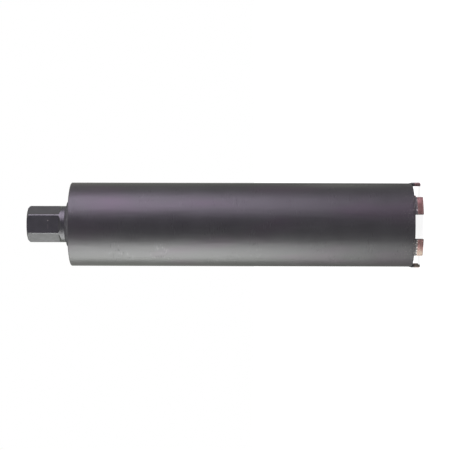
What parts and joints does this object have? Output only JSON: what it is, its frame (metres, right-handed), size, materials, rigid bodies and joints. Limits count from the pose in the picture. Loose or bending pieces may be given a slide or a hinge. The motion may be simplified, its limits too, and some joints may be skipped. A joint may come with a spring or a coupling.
{
  "type": "diamond core bit",
  "caption": "Long tubular bit for drilling cores out of concrete: painted steel barrel, hex hub with a female drive thread and a crown of copper-coloured segments.",
  "frame": {"origin": "centre of the cutting plane, which the bit stands on", "axes": "+Z along the axis of rotation, from the segments towards the hub; +X through a corner of the hub's hexagon"},
  "size_m": [0.11, 0.108, 0.506],
  "materials": {
    "barrel_paint": "satin",
    "hub_paint": "satin",
    "weld_paint": "satin",
    "foot_steel": "ground",
    "diamond_matrix": "matte sintered"
  },
  "bodies": {
    "root": {"barrel_tube": "barrel_paint", "back_plate": "barrel_paint", "plate_weld": "weld_paint", "hub": "hub_paint", "hub_weld": "weld_paint", "segment_foot_1": "foot_steel", "segment_foot_2": "foot_steel", "segment_foot_3": "foot_steel", "segment_foot_4": "foot_steel", "segment_foot_5": "foot_steel", "segment_foot_6": "foot_steel", "diamond_segment_1": "diamond_matrix", "diamond_segment_2": "diamond_matrix", "diamond_segment_3": "diamond_matrix", "diamond_segment_4": "diamond_matrix", "diamond_segment_5": "diamond_matrix", "diamond_segment_6": "diamond_matrix", "segment_weld_1": "weld_paint", "segment_weld_2": "weld_paint", "segment_weld_3": "weld_paint", "segment_weld_4": "weld_paint", "segment_weld_5": "weld_paint", "segment_weld_6": "weld_paint"}
  },
  "joints": []
}
